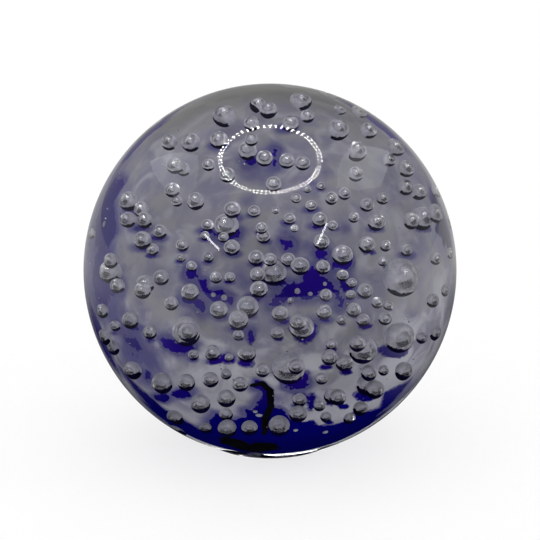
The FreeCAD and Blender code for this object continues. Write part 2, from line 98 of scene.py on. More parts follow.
# The black streak low in front and the black patch at the bottom, painted reflections of dark
# surroundings, each along a line: across, up and reach in ball radii.
BLACK_MARKS = [
    [(-0.1, -0.62, 0.014), (-0.04, -0.61, 0.022), (0.0, -0.65, 0.024), (0.005, -0.73, 0.022),
     (-0.025, -0.8, 0.025), (-0.03, -0.88, 0.02)],
    [(-0.2, -0.92, 0.08), (-0.17, -0.94, 0.1), (-0.1, -0.97, 0.06), (-0.04, -0.955, 0.09),
     (-0.03, -0.94, 0.07)],
]

# What the ball mirrors, at the place where it is seen in the glass, across and up in ball radii.
WINDOW_PANES = [
    [(-0.615, 0.56), (-0.594, 0.497), (-0.55, 0.433), (-0.487, 0.369), (-0.43, 0.345),
     (-0.37, 0.415), (-0.358, 0.51), (-0.365, 0.58), (-0.48, 0.6)],
    [(0.404, 0.62), (0.36, 0.56), (0.341, 0.505), (0.334, 0.41), (0.45, 0.4), (0.555, 0.42),
     (0.598, 0.515), (0.615, 0.61), (0.51, 0.635)],
]
STRIP_LAMPS = [[(-0.326, 0.176), (-0.251, 0.1)], [(0.235, 0.128), (0.284, 0.235)]]


# ---------------------------------------------------------------- reading the frame

# Corners of a CAD mesh on one step of this grid are one corner.
MERGE_GRID = 0.0005 * MM

# A hollow in the outer gather that is smaller than this share of the ball is a bubble.
LARGEST_BUBBLE = 0.25

# The foot's flat ends at this height, and its bevel lies between these two.
FLAT_TO = 0.01 * MM
BEVEL_FROM, BEVEL_TO = 0.05 * MM, 1.0 * MM


def mesh_arrays(node):
    """A CAD node's corners, merged where they coincide, and its triangles."""
    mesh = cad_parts[node].data
    mesh.calc_loop_triangles()
    corners = np.zeros(len(mesh.vertices) * 3)
    mesh.vertices.foreach_get("co", corners)
    triangles = np.zeros(len(mesh.loop_triangles) * 3, dtype=np.int64)
    mesh.loop_triangles.foreach_get("vertices", triangles)
    grid = np.round(corners.reshape(-1, 3) / MERGE_GRID).astype(np.int64)
    _, first, place = np.unique(grid, axis=0, return_index=True, return_inverse=True)
    return corners.reshape(-1, 3)[first], place.reshape(-1)[triangles].reshape(-1, 3)


def shells(corners, triangles):
    """The separate closed surfaces of a mesh, each as an array of its corners."""
    label = np.arange(len(corners))
    while True:
        lowest = label[triangles].min(axis=1)
        spread = label.copy()
        for column in range(3):
            np.minimum.at(spread, triangles[:, column], lowest)
        spread = spread[spread]
        if np.array_equal(spread, label):
            break
        label = spread
    return [corners[label == name] for name in np.unique(label[triangles[:, 0]])]


outer_corners, outer_triangles = mesh_arrays("outer_gather")
low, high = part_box("outer_gather")
BALL_RADIUS = (high.x - low.x) / 2
CENTRE = Vector((0, 0, high.z - BALL_RADIUS))
core_low, core_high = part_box("blue_core")
CORE_RADIUS = (core_high.z - core_low.z) / 2
gather_low, gather_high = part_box("first_gather")
GATHER_RADIUS = (gather_high.z - gather_low.z) / 2
VEIL_RADIUS = max((Vector(corner) - CENTRE).length for corner in mesh_arrays("white_veil")[0])


def read_bubbles():
    """Each hollow in the outer gather as (centre, radius)."""
    found = []
    for corners in shells(outer_corners, outer_triangles):
        middle = (corners.min(axis=0) + corners.max(axis=0)) / 2
        size = (corners.max(axis=0) - corners.min(axis=0)).max() / 2
        if size < LARGEST_BUBBLE * BALL_RADIUS:
            found.append((Vector(middle), size))
    found.sort(key=lambda item: tuple(item[0]))
    return found


def foot_profile():
    """The foot's flat radius, and the radius and height of its bevel's outer edge."""
    reach = np.hypot(outer_corners[:, 0], outer_corners[:, 1])
    height = outer_corners[:, 2] - low.z
    flat = reach[height < FLAT_TO].max()
    near = (height > BEVEL_FROM) & (height < BEVEL_TO) & (reach < flat + BEVEL_TO)
    edge = reach[near].max()
    return flat, edge, height[near][reach[near].argmax()]


# ---------------------------------------------------------------- optics of the ball

# Rays are followed out to this share of the ball's outline.
RIM = 0.99
HALVINGS = 30

# Nearer the middle of the view than this, in ball radii, the squeeze of a bubble is left out.
NOT_SQUEEZED = 0.1


def bend(offset, radius):
    """Where the ray that meets the ball this far off its middle comes to this radius: the ray's angle to
    the radius there, and that point's angle from the view."""
    slant = math.asin(min(1.0, offset / GLASS_INDEX * BALL_RADIUS / radius))
    spread = offset * math.asin(BALL_RADIUS / VIEW_DISTANCE)
    return slant, math.asin(offset) - math.asin(offset / GLASS_INDEX) + slant - spread


def seen_at(across, up, radius):
    """The direction from the ball's centre of the point at this radius that looks to lie at across and
    up."""
    offset = math.hypot(across, up)
    polar = bend(offset, radius)[1]
    return (RIGHT * across + UP * up) * (math.sin(polar) / offset) + TOWARDS * math.cos(polar)


def looks_at(away):
    """Where a point, given from the ball's centre, is seen through the glass: across and up in ball
    radii. None where it can't be seen from the front."""
    radius, polar = away.length, away.angle(TOWARDS)
    low_end, high_end = 0.0, min(RIM, RIM * GLASS_INDEX * radius / BALL_RADIUS)
    if bend(high_end, radius)[1] < polar:
        return None
    for _ in range(HALVINGS):
        offset = (low_end + high_end) / 2
        if bend(offset, radius)[1] < polar:
            low_end = offset
        else:
            high_end = offset
    aside = math.hypot(away.dot(RIGHT), away.dot(UP))
    return away.dot(RIGHT) / aside * offset, away.dot(UP) / aside * offset


def squeeze_at(away):
    """How a round bubble at this place, given from the ball's centre, is squeezed where it is seen: the
    direction of the squeeze, the direction across it, and its ratio."""
    place = looks_at(away)
    offset = math.hypot(*place) if place else 0.0
    if offset < NOT_SQUEEZED:
        return RIGHT, UP, 1.0
    slant, polar = bend(offset, away.length)
    step = 0.001
    change = (bend(offset + step, away.length)[1] - bend(offset - step, away.length)[1]) / (2 * step)
    ratio = math.sin(polar) / (offset * math.cos(slant) * change)
    outward = away.normalized()
    across = TOWARDS.cross(outward).normalized()
    sideways = across.cross(outward)
    return outward * math.sin(slant) + sideways * math.cos(slant), across, min(1.0, ratio)


def mirrored_at(across, up, distance):
    """The point this far from the ball's skin whose mirror image lies at across and up."""
    normal = RIGHT * across + UP * up + TOWARDS * math.sqrt(1 - across ** 2 - up ** 2)
    eye = (TOWARDS * VIEW_DISTANCE - normal * BALL_RADIUS).normalized()
    return CENTRE + normal * BALL_RADIUS + (normal * (2 * normal.dot(eye)) - eye) * distance


# ---------------------------------------------------------------- mesh helpers

def add_object(name, vertices, faces, smooth=True):
    """A mesh object from plain lists."""
    mesh = bpy.data.meshes.new(name)
    mesh.from_pydata([tuple(vertex) for vertex in vertices], [], [tuple(face) for face in faces])
    mesh.polygons.foreach_set("use_smooth", [smooth] * len(mesh.polygons))
    mesh.update()
    thing = bpy.data.objects.new(name, mesh)
    bpy.context.scene.collection.objects.link(thing)
    return thing


def add_layer(thing, name, values):
    """One number at each corner of a mesh, for its material."""
    layer = thing.data.attributes.new(name, "FLOAT", "POINT")
    layer.data.foreach_set("value", np.array(values, dtype=np.float32))


def unit_sphere(levels):
    """An icosphere of radius 1: its corners as an array and its triangles as an array."""
    shape = bmesh.new()
    bmesh.ops.create_icosphere(shape, subdivisions=levels, radius=1.0)
    corners = np.array([vertex.co for vertex in shape.verts])
    triangles = np.array([[vertex.index for vertex in face.verts] for face in shape.faces])
    shape.free()
    return corners, triangles


def noise_at(points, size, offset):
    """Smooth noise, about -1 to 1, with features of this size. The offset picks one pattern of it."""
    falloff, finer, octaves = 0.6, 2.0, 3
    shift = Vector((offset, 1.7 * offset, -offset))
    return np.array([
        noise.fractal(place / size + shift, falloff, finer, octaves, noise_basis="PERLIN_ORIGINAL")
        for place in map(Vector, points)
    ])


# ---------------------------------------------------------------- pieces

# The skin's mesh: rings from the foot to the top, sectors around, and the shares at which rings lie
# across the foot's flat, its bevel, and the stretch between the bevel and the ball.
SKIN_RINGS = 140
SKIN_SECTORS = 280
FLAT_SHARES = (0.35, 0.7, 0.97)
BEVEL_SHARES = (0.0, 0.12, 0.5, 0.88, 1.0)
BLEND_SHARES = (0.06, 0.35, 0.7)

# How uneven a bubble is: its shortest axis, and its deepest dent, as shares of its radius.
SHORTEST_AXIS = 0.93
DEEPEST_DENT = 0.02
DENTS = 3

# How far a bubble is drawn out against the squeeze it is seen with: 0.5 would undo it.
ROUNDING = 0.45
MOST_DRAWN = 1.25

# How far a bubble keeps from the veil and from the skin.
CLEAR_OF_VEIL = 0.1 * MM
CLEAR_OF_SKIN = 0.25 * MM

# Bubbles larger than this have the finer mesh.
FINE_FROM = 0.9 * MM
FINE_LEVELS, COARSE_LEVELS = 4, 3

# The dark crescent along a bubble's underside, painted shade for the shadow under the bubble and the
# dark surroundings its wall mirrors, as seen by someone who looks at it from outside the ball and nearly
# level: how much of the bubble's slope is left in that direction, how much the crescent curves, and how
# much slimmer it is on large bubbles and near the top, and bolder low down.
CRESCENT_TILT = 0.25
CRESCENT_CURVE = 0.6
LARGE_BUBBLE = 2 * MM
SLIM_IF_LARGE = 0.35
SLIM_NEAR_TOP, NEAR_TOP = 0.5, 0.6
BOLD_LOW_DOWN, LOW_DOWN = 0.4, -0.2

# The core's mesh, which the veil shares.
CORE_LEVELS = 7

# The gas seeds: how many are tried, how low they go, how far they keep from the veil and the skin, and
# their radii in millimetres.
SEED_COUNT = 260
LOWEST_SEED = -0.8
SEED_OFF_VEIL, SEED_OFF_SKIN = 0.6 * MM, 0.8 * MM
SEED_RADII = (0.08, 0.22)

# Over how far inside its torn edge the enamel fades from bare to thick.
FADE = 3.5 * MM

# The tears behind bubbles are painted shadows, bare cobalt just under a bubble: how far out they are
# laid in ball radii, the chance of one low down and high up, where low ends, how much flatter than wide
# they are, and the step that measures how the ball squeezes them.
SHADOWS_WITHIN = 0.9
SHADOW_CHANCE_LOW, SHADOW_CHANCE_HIGH, SHADOWS_LOW_BELOW = 0.55, 0.15, 0.35
SHADOW_FLATNESS = 2.2
SHADOW_STEP = 0.02

# Pale places are laid only on enamel that is less worn than this.
PALE_BELOW = 0.9

# The black marks: how many steps along each line, and how far they fade in reaches.
MARK_STEPS = 8
MARK_FADE = 1.6

# The veil's edge: how far inside its torn outline it ends, and over how far it thickens, in millimetres.
EDGE_INSET = 0.5
EDGE_TAPER = 4.0

# The veil's thickness, as shares of the CAD veil's: at its edge, and what its body adds, smooth and
# lumpy.
EDGE_SHARE, BODY_SHARE = 0.1, 0.8
SMOOTH_SHARE, LUMP_SHARE = 0.85, 0.25

# How deep the veil's underside is sunk in the core, and how far its edge stands over it.
VEIL_SUNK = 0.08 * MM
VEIL_LIP = 0.03 * MM

# The flecks: half their height, how far their middles lie above the core, and how lumpy they are.
FLECK_HEIGHT = 0.3 * MM
FLECK_RISE = 0.05 * MM
FLECK_LUMPS = 0.12


def make_skin():
    """The polished outside of the ball with its ground foot, turned about Z."""
    flat, edge, bevel = foot_profile()
    drop = CENTRE.z - low.z - bevel
    start = math.acos(BALL_RADIUS / math.hypot(edge, drop)) - math.atan2(drop, edge)
    profile = [(flat * share, 0.0) for share in FLAT_SHARES]
    for share in BEVEL_SHARES:
        profile.append((flat + (edge - flat) * share, bevel * share))
    tangent = (BALL_RADIUS * math.cos(start), CENTRE.z - low.z + BALL_RADIUS * math.sin(start))
    for share in BLEND_SHARES:
        profile.append((edge + (tangent[0] - edge) * share, bevel + (tangent[1] - bevel) * share))
    for ring in range(SKIN_RINGS):
        angle = start + (math.pi / 2 - start) * ring / SKIN_RINGS
        profile.append((BALL_RADIUS * math.cos(angle), CENTRE.z - low.z + BALL_RADIUS * math.sin(angle)))
    vertices = [(0, 0, low.z)]
    for reach, height in profile:
        for sector in range(SKIN_SECTORS):
            turn = 2 * math.pi * sector / SKIN_SECTORS
            vertices.append((reach * math.cos(turn), reach * math.sin(turn), low.z + height))
    vertices.append((0, 0, high.z))
    faces = []
    last = len(vertices) - 1
    for sector in range(SKIN_SECTORS):
        following = (sector + 1) % SKIN_SECTORS
        faces.append((0, 1 + following, 1 + sector))
        for ring in range(len(profile) - 1):
            here = 1 + ring * SKIN_SECTORS
            above = here + SKIN_SECTORS
            faces.append((here + sector, here + following, above + following, above + sector))
        top = 1 + (len(profile) - 1) * SKIN_SECTORS
        faces.append((top + sector, top + following, last))
    return add_object("clear_glass", vertices, faces)


def bubble_shape(sphere, centre, radius, chance):
    """A sphere's corners made a little uneven, as an air bubble in stiff glass is, and drawn out so that
    it looks nearly round where the ball squeezes it."""
    stretch = np.array([chance.uniform(SHORTEST_AXIS, 1.0) for _ in range(3)])
    stretch /= stretch.max()
    shape = sphere * stretch
    along, across, ratio = squeeze_at(centre - CENTRE)
    draw = min(MOST_DRAWN, ratio ** -ROUNDING)
    for axis, factor in ((np.array(along), draw), (np.array(across), 1 / draw)):
        shape = shape + (shape @ axis * (factor - 1))[:, None] * axis
    for _ in range(DENTS):
        axis = Vector([chance.gauss(0, 1) for _ in range(3)]).normalized()
        along = sphere @ np.array(axis)
        deepest = chance.uniform(0.0, DEEPEST_DENT)
        dent = deepest * (1 + np.sin(3 * along + chance.uniform(0, 6))) / 2
        shape = shape * (1 - dent)[:, None]
    return shape * radius


def fitted(shape, outward):
    """A bubble's corners, from the ball's centre, kept clear of the ball's skin and of the veil."""
    nearest, farthest = VEIL_RADIUS + CLEAR_OF_VEIL, BALL_RADIUS - CLEAR_OF_SKIN
    shape = shape - np.array(outward) * max(0.0, np.linalg.norm(shape, axis=1).max() - farthest)
    reach = np.linalg.norm(shape, axis=1)
    return shape * (np.clip(reach, nearest, farthest) / reach)[:, None]


def crescent_of(corners, outward, radius):
    """How far each corner of a bubble lies inside its dark crescent of painted shade: about 1 at the
    bottom,
    0 at its edge."""
    level = Vector((outward.x, outward.y, CRESCENT_TILT * outward.z)).normalized()
    lowest = (level * level.z - Vector((0, 0, 1))).normalized()
    facing = np.abs(corners @ np.array(level))
    slimmer = SLIM_IF_LARGE * min(1.0, max(0.0, radius / LARGE_BUBBLE - 1))
    slimmer += SLIM_NEAR_TOP * max(0.0, outward.z - NEAR_TOP)
    bolder = BOLD_LOW_DOWN * max(0.0, LOW_DOWN - outward.z)
    return corners @ np.array(lowest) - CRESCENT_CURVE * facing - slimmer + bolder


def make_bubbles(name, bubbles, chance):
    """Many bubbles as one piece. Their faces look inwards, because the glass is outside them. The layer
    under says where the dark crescent of painted shade is, and the layer aside is 0 at each bubble's
    outermost point."""
    fine, coarse = unit_sphere(FINE_LEVELS), unit_sphere(COARSE_LEVELS)
    vertices, faces, under, aside, count = [], [], [], [], 0
    for centre, radius in bubbles:
        corners, triangles = fine if radius > FINE_FROM else coarse
        outward = (centre - CENTRE).normalized()
        shaped = bubble_shape(corners, centre, radius, chance) + np.array(centre - CENTRE)
        vertices.append(fitted(shaped, outward) + np.array(CENTRE))
        aside.append(1 - corners @ np.array(outward))
        under.append(crescent_of(corners, outward, radius))
        faces.append(triangles[:, ::-1] + count)
        count += len(corners)
    piece = add_object(name, np.vstack(vertices), np.vstack(faces))
    add_layer(piece, "under", np.concatenate(under))
    add_layer(piece, "aside", np.concatenate(aside))
    return piece


def veil_depth(directions, triangles):
    """How far each direction lies inside the veil's outline, along the core. Outside it is negative."""
    start, halvings = 0.9 * CORE_RADIUS, 5
    corners, faces = mesh_arrays("white_veil")
    tree = BVHTree.FromPolygons([Vector(corner) for corner in corners], faces.tolist())

    def covered(direction):
        ray = Vector(direction).normalized()
        return tree.ray_cast(CENTRE + ray * start, ray, CORE_RADIUS)[0] is not None

    inside = np.array([covered(direction) for direction in directions])
    pairs = np.vstack([triangles[:, [0, 1]], triangles[:, [1, 2]], triangles[:, [2, 0]]])
    pairs = pairs[(pairs[:, 0] < pairs[:, 1]) & (inside[pairs[:, 0]] != inside[pairs[:, 1]])]
    edge = KDTree(len(pairs))
    for number, (first, second) in enumerate(pairs):
        kept, bare = (first, second) if inside[first] else (second, first)
        kept, bare = directions[kept], directions[bare]
        for _ in range(halvings):
            middle = (kept + bare) / 2
            if covered(middle):
                kept = middle
            else:
                bare = middle
        edge.insert(Vector((kept + bare) / 2).normalized(), number)
    edge.balance()
    reach = np.array([edge.find(Vector(direction))[2] for direction in directions]) * CORE_RADIUS
    return np.where(inside, reach, -reach)


def nearness(sphere, across, up, reach):
    """1 at the place that looks to lie at across and up, fading away over this reach in ball radii. How
    wide that is on the core is measured from a second place, half the reach nearer the middle."""
    least_share, least_offset = 0.02, 0.01
    middle = seen_at(across, up, CORE_RADIUS)
    inwards = max(least_share, 1 - 0.5 * reach / max(least_offset, math.hypot(across, up)))
    size = 2 * (seen_at(across * inwards, up * inwards, CORE_RADIUS) - middle).length
    return np.exp(-((sphere - np.array(middle)) ** 2).sum(axis=1) / size ** 2)


def painted_shadow_at(sphere, across, up, size):
    """A painted shadow: 1 at the place on the core that looks to lie at across and up, fading away in an
    ellipse that is this wide in ball radii and flatter than wide, as it is seen."""
    middle = np.array(seen_at(across, up, CORE_RADIUS))
    long_side = np.array(seen_at(across + SHADOW_STEP, up, CORE_RADIUS)) - middle
    short_side = np.array(seen_at(across, up - SHADOW_STEP, CORE_RADIUS)) - middle
    to_plane = np.linalg.pinv(np.column_stack([long_side, short_side])) * SHADOW_STEP
    aside, below = to_plane @ (sphere - middle).T
    same_side = sphere @ middle > 0.8
    return np.exp(-(aside ** 2 + (SHADOW_FLATNESS * below) ** 2) / size ** 2) * same_side


def wear_and_shade_of(sphere, depth, bubbles, chance):
    """How worn the enamel is, with the painted shadows under bubbles laid in as tears: 0 is thick, 1 is
    the edge of a tear, and over 1 is bare core. Below 0 it is thicker and paler than elsewhere."""
    wear_and_shade = 1 - depth / FADE
    wear_and_shade = np.where(wear_and_shade > 1, wear_and_shade, wear_and_shade * 0.95 + 0.05 * wear_and_shade ** 3)
    for across, up, reach, thin in THIN_PATCHES:
        wear_and_shade = np.maximum(wear_and_shade, thin * nearness(sphere, across, up, reach))
    # Painted shadows: under some bubbles the enamel is torn to bare cobalt, for the shadow that the
    # bubble casts on the veil.
    for centre, radius in bubbles:
        place = looks_at(centre - CENTRE)
        if place is None or math.hypot(*place) > SHADOWS_WITHIN:
            continue
        if chance.random() > (SHADOW_CHANCE_LOW if place[1] < SHADOWS_LOW_BELOW else SHADOW_CHANCE_HIGH):
            continue
        reach = radius / BALL_RADIUS
        across = place[0] + chance.uniform(-0.5, 0.5) * reach
        up = place[1] - chance.uniform(0.7, 1.1) * reach
        if math.hypot(across, up) > SHADOWS_WITHIN:
            continue
        near = painted_shadow_at(sphere, across, up, reach * chance.uniform(1.2, 2.2))
        wear_and_shade = np.maximum(wear_and_shade, chance.uniform(1.1, 1.3) * near)
    for across, up, reach in PALE_PATCHES:
        paler = np.maximum(wear_and_shade, 0) - nearness(sphere, across, up, reach)
        wear_and_shade = np.where(wear_and_shade < PALE_BELOW, paler, wear_and_shade)
    return np.clip(wear_and_shade, -1.0, 2.0)


def painted_black_of(sphere):
    """How near each direction lies to the black marks of painted reflection: 1 along their middle, 0 away
    from them.
    """
    painted_black = np.zeros(len(sphere))
    for mark in BLACK_MARKS:
        for start, end in zip(mark, mark[1:]):
            for share in np.linspace(0, 1, MARK_STEPS):
                across, up, reach = np.array(start) * (1 - share) + np.array(end) * share
                middle = np.array(seen_at(across, up, CORE_RADIUS))
                away = np.linalg.norm(sphere - middle, axis=1)
                painted_black = np.maximum(painted_black, 1 - away / (MARK_FADE * reach))
    return painted_black


def make_veil(sphere, triangles, depth, wear_and_shade, painted_black):
    """The enamel veil: a skin that thins towards its torn edges, and ends a little inside them."""
    thickness = VEIL_RADIUS - CORE_RADIUS
    lumps = noise_at(sphere * CORE_RADIUS, 4 * MM, 9.0)
    field = depth / MM - EDGE_INSET
    share = np.clip(field / EDGE_TAPER, 0, 1)
    body = BODY_SHARE * share * share * (3 - 2 * share) * (SMOOTH_SHARE + LUMP_SHARE * lumps)
    outside = CORE_RADIUS + thickness * (EDGE_SHARE + body)
    vertices, extra, names, faces = [], [], {}, []

    def corner(number, layer):
        key = (number, layer)
        if key not in names:
            names[key] = len(vertices)
            vertices.append(sphere[number] * (outside[number] if layer else CORE_RADIUS - VEIL_SUNK))
            extra.append((wear_and_shade[number], painted_black[number]))
        return names[key]

    def crossing(first, second, layer):
        low_end, high_end = min(first, second), max(first, second)
        key = (low_end, high_end, layer)
        if key not in names:
            part = field[low_end] / (field[low_end] - field[high_end])
            direction = sphere[low_end] * (1 - part) + sphere[high_end] * part
            names[key] = len(vertices)
            radius = CORE_RADIUS + (VEIL_LIP if layer else -VEIL_SUNK)
            vertices.append(direction / np.linalg.norm(direction) * radius)
            extra.append((
                wear_and_shade[low_end] * (1 - part) + wear_and_shade[high_end] * part,
                painted_black[low_end] * (1 - part) + painted_black[high_end] * part,
            ))
        return names[key]

    for triangle in triangles.tolist():
        kept = [field[number] > 0 for number in triangle]
        if not any(kept):
            continue
        outlines = {}
        for layer in (1, 0):
            outline, cut = [], []
            for here in range(3):
                number, following = triangle[here], triangle[(here + 1) % 3]
                if kept[here]:
                    outline.append(corner(number, layer))
                if kept[here] != kept[(here + 1) % 3]:
                    outline.append(crossing(number, following, layer))
                    cut.append(outline[-1])
            outlines[layer] = (outline, cut)
            faces.append(outline if layer else outline[::-1])
        (outline, cut), (_, below) = outlines[1], outlines[0]
        if cut:
            if outline[(outline.index(cut[0]) + 1) % len(outline)] != cut[1]:
                cut, below = cut[::-1], below[::-1]
            faces.append((cut[1], cut[0], below[0], below[1]))
    veil = add_object("enamel_veil", np.array(vertices) + np.array(CENTRE), faces)
    add_layer(veil, "wear_and_shade", [pair[0] for pair in extra])
    add_layer(veil, "painted_black", [pair[1] for pair in extra])
    return veil


def make_core(sphere, triangles, wear_and_shade, painted_black):
    """The core, very slightly uneven, with the thin film that the veil leaves round its tears and round
    the painted shadows under bubbles.
    """
    uneven = 1 - 0.001 * (1 + noise_at(sphere * CORE_RADIUS, 9 * MM, 2.0))
    corners = sphere * (CORE_RADIUS * uneven)[:, None] + np.array(CENTRE)
    core = add_object("cobalt_core", corners, triangles)
    add_layer(core, "wear_and_shade", wear_and_shade)
    add_layer(core, "painted_black", painted_black)
    return core


def scatter_seeds(chance):
    """Tiny gas seeds all through the clear glass, too small for the CAD, as (centre, radius)."""
    seeds = []
    for _ in range(SEED_COUNT):
        outward = Vector([chance.gauss(0, 1) for _ in range(3)]).normalized()
        if outward.z > LOWEST_SEED:
            away = chance.uniform(VEIL_RADIUS + SEED_OFF_VEIL, BALL_RADIUS - SEED_OFF_SKIN)
            seeds.append((CENTRE + outward * away, chance.uniform(*SEED_RADII) * MM))
    return seeds


def make_flecks(chance):
    """The loose specks of enamel, each a low rounded lump where the CAD has one."""
    sphere, triangles = unit_sphere(FINE_LEVELS)
    vertices, faces, count = [], [], 0
    for corners in shells(*mesh_arrays("veil_flecks")):
        middle = Vector(corners.mean(axis=0)) - CENTRE
        outward = middle.normalized()
        size = max((Vector(corner) - Vector(corners.mean(axis=0))).length for corner in corners)
        turn = outward.to_track_quat("Z", "Y")
        lump = sphere * np.array([size, size * chance.uniform(0.7, 1.0), FLECK_HEIGHT])
        lump = lump * (1 + FLECK_LUMPS * noise_at(sphere, 0.9, chance.uniform(0, 50)))[:, None]
        place = CENTRE + outward * (CORE_RADIUS + FLECK_RISE)
        vertices.append(np.array([place + turn @ Vector(corner) for corner in lump]))
        faces.append(triangles + count)
        count += len(sphere)
    return add_object("enamel_flecks", np.vstack(vertices), np.vstack(faces))


# ---------------------------------------------------------------- materials

WHITE = (1.0, 1.0, 1.0, 1.0)

# The polish of the glass: the width and height of its waves.
WAVE_SIZE, WAVE_HEIGHT = 18 * MM, 0.4 * MM

# The pits in a bubble's wall: how far apart they are, and how deep. A grain of the film lies in each.
PIT_SIZE, PIT_DEPTH = 0.4 * MM, 0.01 * MM

# The film of enamel on a bubble's wall: its two greys, and its grains.
FILM_DARK, FILM_LIGHT, FILM_GRAIN = (0.68, 0.68, 0.76), (0.88, 0.88, 0.97), (1.0, 1.0, 1.0)

# How much the film covers: everywhere, in patches, in grains, and at least this off the outermost side.
COVER_ALL, COVER_PATCHES, COVER_GRAINS, COVER_INNER = 0.08, 0.15, 0.18, 0.55

# The dark crescent of a bubble: painted shade, in near-black navy.
PAINTED_CRESCENT_SHADE = (0.004, 0.003, 0.025, 1)

# The cobalt core: its two blues, its darker blue near the foot, which is painted shade, and the haze
# over it at the left and the right, which is painted reflection of the glass near the ball's edge.
COBALT, COBALT_DEEP, COBALT_SHADED_LOW = (0.017, 0.004, 0.2), (0.011, 0.003, 0.16), (0.001, 0.0006, 0.12)
REFLECTED_HAZE_LEFT, REFLECTED_HAZE_RIGHT = (0.06, 0.055, 0.15), (0.1, 0.1, 0.11)

# The enamel: grey and lavender, pale blotches in general and in the belt low in front, where painted
# light from below makes them paler, thin over cobalt, and olive at the top of the back, which is painted
# reflection.
ENAMEL_GREY, ENAMEL_LAVENDER = (0.275, 0.275, 0.3), (0.215, 0.21, 0.29)
ENAMEL_PALE, ENAMEL_BELT_LIT = (0.36, 0.36, 0.41), (0.45, 0.45, 0.5)
ENAMEL_THIN, OLIVE_REFLECTION = (0.1, 0.095, 0.22), (0.15, 0.15, 0.135)
# The black of the marks, painted reflection of dark surroundings.
MARK_BLACK = (0.003, 0.003, 0.004)

# Heights above the table between which the core turns its low blue, which is painted shade, and the
# enamel paler, which is painted light from below.
LOW_BLUE_FROM, LOW_BLUE_FULL = 0.028, 0.016
PALER_FROM, PALER_FULL = 0.036, 0.022

# The belt of the palest blotches, paler with painted light from below: where it fades in from above,
# and from below.
BELT_TOP, BELT_BOTTOM = (0.037, 0.031), (0.02, 0.026)


class Nodes:
    """Short calls for building one node tree."""

    def __init__(self, tree):
        self.tree = tree
        self.tree.nodes.clear()

    def add(self, kind, **inputs):
        node = self.tree.nodes.new(kind)
        for name, value in inputs.items():
            socket = node.inputs[name.replace("_", " ")]
            if isinstance(value, bpy.types.NodeSocket):
                self.tree.links.new(value, socket)
            else:
                socket.default_value = value
        return node

    def layer(self, name):
        """The number that a mesh carries at each corner under this name."""
        node = self.add("ShaderNodeAttribute")
        node.attribute_name = name
        return node.outputs["Fac"]

    def noise(self, where, size, detail=4.0, roughness=0.55, distortion=0.0):
        """Noise with features of about this size in metres."""
        node = self.add(
            "ShaderNodeTexNoise", Vector=where, Scale=1 / size, Detail=detail, Roughness=roughness,
            Distortion=distortion,
        )
        return node.outputs["Fac"]

    def ramp(self, value, low, high):
        """0 on the far side of low, 1 beyond high, smooth between. Low may be the larger of the two."""
        node = self.add("ShaderNodeMapRange", Value=value)
        node.interpolation_type = "SMOOTHSTEP"
        node.inputs["From Min"].default_value = low
        node.inputs["From Max"].default_value = high
        return node.outputs["Result"]

    def mix(self, share, first, second):
        """A colour between two colours."""
        node = self.tree.nodes.new("ShaderNodeMix")
        node.data_type = "RGBA"
        sockets = (node.inputs[0], node.inputs[6], node.inputs[7])
        for socket, value in zip(sockets, (share, first, second)):
            if isinstance(value, bpy.types.NodeSocket):
                self.tree.links.new(value, socket)
            elif isinstance(value, tuple):
                socket.default_value = (*value, 1.0)
            else:
                socket.default_value = value
        return node.outputs[2]

    def blend(self, share, first, second):
        """A surface between two surfaces."""
        node = self.add("ShaderNodeMixShader", Fac=share)
        self.tree.links.new(first.outputs[0], node.inputs[1])
        self.tree.links.new(second.outputs[0], node.inputs[2])
        return node

    def maths(self, operation, *values):
        """One step of arithmetic on numbers or sockets."""
        node = self.tree.nodes.new("ShaderNodeMath")
        node.operation = operation
        for socket, value in zip(node.inputs, values):
            if isinstance(value, bpy.types.NodeSocket):
                self.tree.links.new(value, socket)
            else:
                socket.default_value = value
        return node.outputs[0]

    def product(self, first, second):
        return self.maths("MULTIPLY", first, second)

    def total(self, first, second):
        return self.maths("ADD", first, second)

    def matt(self, colour, roughness, **inputs):
        """A surface with no gloss."""
        shader = self.add("ShaderNodeBsdfPrincipled", Base_Color=colour, Roughness=roughness, **inputs)
        shader.inputs["Specular IOR Level"].default_value = 0.0
        return shader

    def glass(self, roughness, normal):
        """Clear glass."""
        return self.add(
            "ShaderNodeBsdfPrincipled", Base_Color=WHITE, Roughness=roughness, IOR=GLASS_INDEX,
            Transmission_Weight=1.0, Normal=normal,
        )


def new_material(name):
    """A material with an empty tree, and the helper for it."""
    material = bpy.data.materials.new(name)
    material.use_nodes = True
    return material, Nodes(material.node_tree)


def finish_material(nodes, shader):
    """Make this shader the material's surface."""
    output = nodes.tree.nodes.new("ShaderNodeOutputMaterial")
    nodes.tree.links.new(shader.outputs[0], output.inputs["Surface"])


def glass_material(name):
    """Clear soda glass, with faint waves in its polish."""
    material, nodes = new_material(name)
    place = nodes.add("ShaderNodeTexCoord").outputs["Object"]
    waves = nodes.noise(place, WAVE_SIZE, 1.0)
    bump = nodes.add("ShaderNodeBump", Height=waves, Strength=0.02, Distance=WAVE_HEIGHT)
    finish_material(nodes, nodes.glass(0.0, bump.outputs[0]))
    return material


